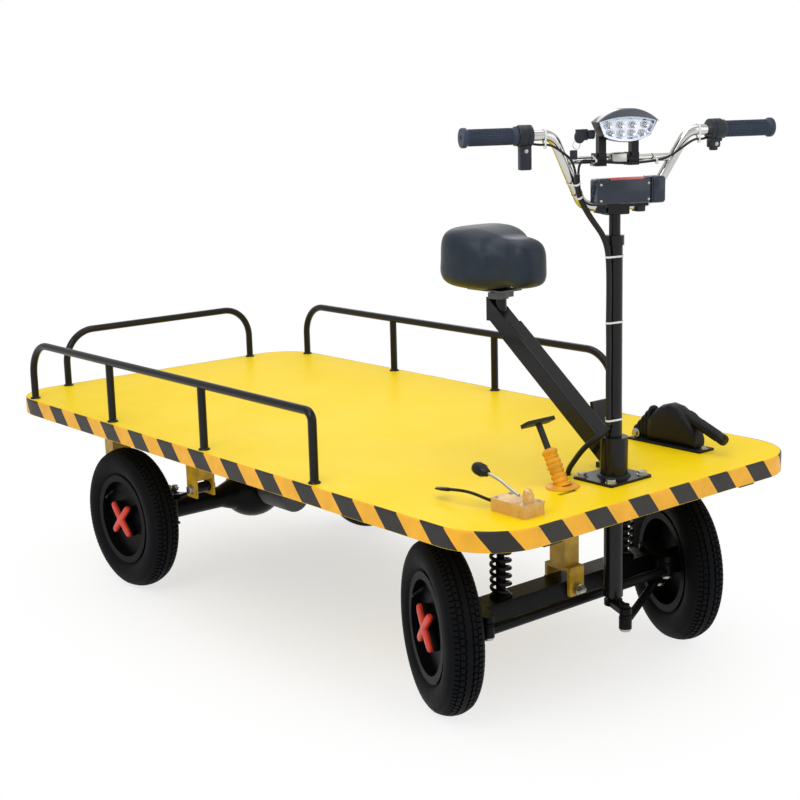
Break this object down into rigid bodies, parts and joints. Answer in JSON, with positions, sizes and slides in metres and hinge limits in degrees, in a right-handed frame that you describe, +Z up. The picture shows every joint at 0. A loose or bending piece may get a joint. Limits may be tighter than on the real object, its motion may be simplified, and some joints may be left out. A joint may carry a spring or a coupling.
{
  "type": "electric platform truck",
  "caption": "Electric platform truck with a flat steel deck, tube rails, pneumatic wheels, a handlebar on a tall steering column and a saddle on a slanted post.",
  "frame": {"origin": "on the ground under the middle of the whole truck's bounding box", "axes": "+X forward, towards the handlebar; +Y to the truck's left; +Z up"},
  "size_m": [2.0447, 1, 1.257],
  "materials": {
    "deck_paint": "gloss",
    "frame_paint": "satin",
    "axle_paint": "satin",
    "bracket_paint": "gloss",
    "rail_paint": "gloss",
    "column_paint": "gloss",
    "bar_chrome": "gloss",
    "grip_rubber": "matte",
    "switch_plastic": "satin",
    "display_plastic": "gloss",
    "lamp_plastic": "satin",
    "lamp_lens": "gloss",
    "seat_vinyl": "satin",
    "seat_steel": "satin",
    "bolt_zinc": "satin",
    "lever_zinc": "satin",
    "knob_plastic": "gloss",
    "pedal_rubber": "matte",
    "sleeve_rubber": "satin",
    "boot_rubber": "matte",
    "tyre_rubber": "matte",
    "rim_paint": "satin",
    "spider_paint": "satin",
    "spring_paint": "satin",
    "motor_paint": "satin",
    "battery_paint": "matte",
    "cable_rubber": "satin"
  },
  "bodies": {
    "chassis": {"deck": "deck_paint", "frame_beams": "frame_paint", "cross_members": "frame_paint", "battery_box": "battery_paint", "rail_right": "rail_paint", "rail_left": "rail_paint", "rail_rear": "rail_paint", "column_base": "column_paint", "front_axle": "axle_paint", "pivot_fork": "bracket_paint", "spring_legs": "spring_paint", "rear_axle": "axle_paint", "drive_motor": "motor_paint", "leaf_springs": "spring_paint", "spring_hangers": "bracket_paint", "axle_clamps": "spring_paint", "steel_bolts": "bolt_zinc", "seat_post": "column_paint", "seat_stem": "column_paint", "seat_clamp": "seat_steel", "seat_cushion": "seat_vinyl", "pedals": "pedal_rubber", "pedal_sleeve": "sleeve_rubber", "lever_box": "lever_zinc", "lever_rods": "bolt_zinc", "lever_knobs": "knob_plastic", "hand_brake": "frame_paint", "hand_brake_boot": "boot_rubber", "loom_tail": "cable_rubber"},
    "steering": {"steering_column": "column_paint", "pitman_arm": "axle_paint", "handlebar": "bar_chrome", "stem": "column_paint", "display_box": "display_plastic", "grips": "grip_rubber", "bar_housings": "switch_plastic", "headlamp": "lamp_plastic", "headlamp_lens": "lamp_lens", "key_switch": "switch_plastic", "cable_right": "cable_rubber", "cable_left": "cable_rubber", "loom": "cable_rubber"},
    "steer_knuckle_right": {"knuckle_right": "axle_paint"},
    "steer_knuckle_left": {"knuckle_left": "axle_paint"},
    "tie_link": {"tie_rod": "axle_paint"},
    "drag_bar": {"drag_link": "axle_paint"},
    "wheel_front_right": {"tyre_front_right": "tyre_rubber", "rim_front_right": "rim_paint", "spider_front_right": "spider_paint"},
    "wheel_front_left": {"tyre_front_left": "tyre_rubber", "rim_front_left": "rim_paint", "spider_front_left": "spider_paint"},
    "wheel_rear_right": {"tyre_rear_right": "tyre_rubber", "rim_rear_right": "rim_paint", "spider_rear_right": "spider_paint"},
    "wheel_rear_left": {"tyre_rear_left": "tyre_rubber", "rim_rear_left": "rim_paint", "spider_rear_left": "spider_paint"}
  },
  "joints": [
    {"name": "steering_turn", "type": "hinge", "parent": "chassis", "child": "steering", "pos_m": [0.8416, 0, 0.9], "axis": [0, 0, 1], "range_deg": [-11.5, 58.5]},
    {"name": "kingpin_right", "type": "hinge", "parent": "chassis", "child": "steer_knuckle_right", "pos_m": [0.6951, -0.284, 0.196], "axis": [0, 0, 1], "range_deg": [-11.5, 58.5]},
    {"name": "kingpin_left", "type": "hinge", "parent": "chassis", "child": "steer_knuckle_left", "pos_m": [0.6951, 0.284, 0.196], "axis": [0, 0, 1], "range_deg": [-11.5, 58.5]},
    {"name": "tie_rod_end", "type": "hinge", "parent": "steer_knuckle_right", "child": "tie_link", "pos_m": [0.78681, -0.32387, 0.204], "axis": [0, 0, 1], "range_deg": [-58.5, 11.5]},
    {"name": "drag_link_end", "type": "hinge", "parent": "steering", "child": "drag_bar", "pos_m": [0.89846, -0.02472, 0.175], "axis": [0, 0, 1], "range_deg": [-58.5, 11.5]},
    {"name": "axle_front_right", "type": "hinge", "parent": "steer_knuckle_right", "child": "wheel_front_right", "pos_m": [0.66719, -0.34819, 0.19], "axis": [0.3987, 0.9171, 0], "continuous": true},
    {"name": "axle_front_left", "type": "hinge", "parent": "steer_knuckle_left", "child": "wheel_front_left", "pos_m": [0.72301, 0.34819, 0.19], "axis": [0.3987, 0.9171, 0], "continuous": true},
    {"name": "axle_rear_right", "type": "hinge", "parent": "chassis", "child": "wheel_rear_right", "pos_m": [-0.5394, -0.394, 0.19], "axis": [0, 1, 0], "continuous": true},
    {"name": "axle_rear_left", "type": "hinge", "parent": "chassis", "child": "wheel_rear_left", "pos_m": [-0.5394, 0.394, 0.19], "axis": [0, 1, 0], "continuous": true}
  ],
  "couplings": [
    {"joint": "kingpin_right", "follows": "steering_turn", "ratio": 1},
    {"joint": "kingpin_left", "follows": "steering_turn", "ratio": 1},
    {"joint": "tie_rod_end", "follows": "steering_turn", "ratio": -1},
    {"joint": "drag_link_end", "follows": "steering_turn", "ratio": -1}
  ]
}
